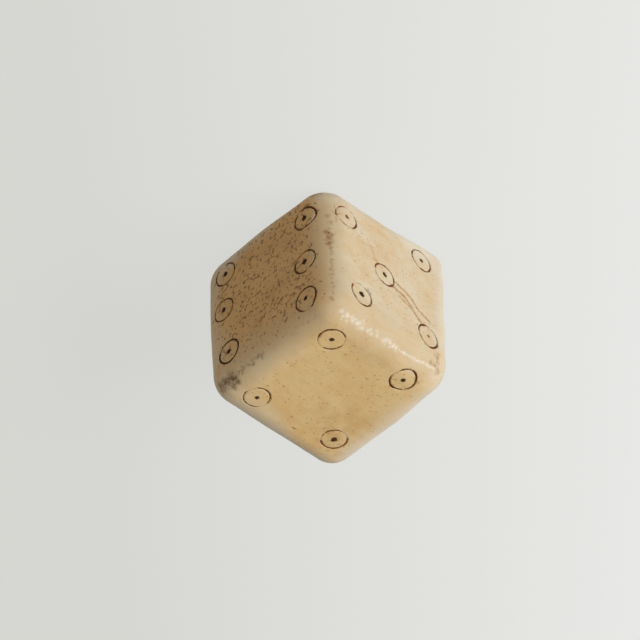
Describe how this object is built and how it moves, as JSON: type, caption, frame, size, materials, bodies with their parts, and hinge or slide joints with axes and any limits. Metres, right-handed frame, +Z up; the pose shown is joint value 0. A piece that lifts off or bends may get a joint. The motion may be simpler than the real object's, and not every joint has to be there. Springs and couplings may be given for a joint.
{
  "type": "gaming die",
  "caption": "Small hand-cut bone die: a cube with worn round edges and corners, each pip a scribed ring around a drilled dot, filled dark.",
  "frame": {"origin": "middle of the block's footprint, at the level of the face that the die rests on, which is the 3", "axes": "+Z up, out of the 4; +X out of the 6; -Y out of the 5; +Y out of the 2; -X out of the 1"},
  "size_m": [0.0148, 0.0148, 0.0152],
  "materials": {
    "bone": "satin",
    "ring_filling": "matte",
    "dot_filling": "matte"
  },
  "bodies": {
    "root": {"bone_block": "bone", "pip_6_1_ring_fill": "ring_filling", "pip_6_1_dot_fill": "dot_filling", "pip_6_2_ring_fill": "ring_filling", "pip_6_2_dot_fill": "dot_filling", "pip_6_3_ring_fill": "ring_filling", "pip_6_3_dot_fill": "dot_filling", "pip_6_4_ring_fill": "ring_filling", "pip_6_4_dot_fill": "dot_filling", "pip_6_5_ring_fill": "ring_filling", "pip_6_5_dot_fill": "dot_filling", "pip_6_6_ring_fill": "ring_filling", "pip_6_6_dot_fill": "dot_filling", "pip_5_1_ring_fill": "ring_filling", "pip_5_1_dot_fill": "dot_filling", "pip_5_2_ring_fill": "ring_filling", "pip_5_2_dot_fill": "dot_filling", "pip_5_3_ring_fill": "ring_filling", "pip_5_3_dot_fill": "dot_filling", "pip_5_4_ring_fill": "ring_filling", "pip_5_4_dot_fill": "dot_filling", "pip_5_5_ring_fill": "ring_filling", "pip_5_5_dot_fill": "dot_filling", "pip_4_1_ring_fill": "ring_filling", "pip_4_1_dot_fill": "dot_filling", "pip_4_2_ring_fill": "ring_filling", "pip_4_2_dot_fill": "dot_filling", "pip_4_3_ring_fill": "ring_filling", "pip_4_3_dot_fill": "dot_filling", "pip_4_4_ring_fill": "ring_filling", "pip_4_4_dot_fill": "dot_filling", "pip_3_1_ring_fill": "ring_filling", "pip_3_1_dot_fill": "dot_filling", "pip_3_2_ring_fill": "ring_filling", "pip_3_2_dot_fill": "dot_filling", "pip_3_3_ring_fill": "ring_filling", "pip_3_3_dot_fill": "dot_filling", "pip_2_1_ring_fill": "ring_filling", "pip_2_1_dot_fill": "dot_filling", "pip_2_2_ring_fill": "ring_filling", "pip_2_2_dot_fill": "dot_filling", "pip_1_1_ring_fill": "ring_filling", "pip_1_1_dot_fill": "dot_filling"}
  },
  "joints": []
}
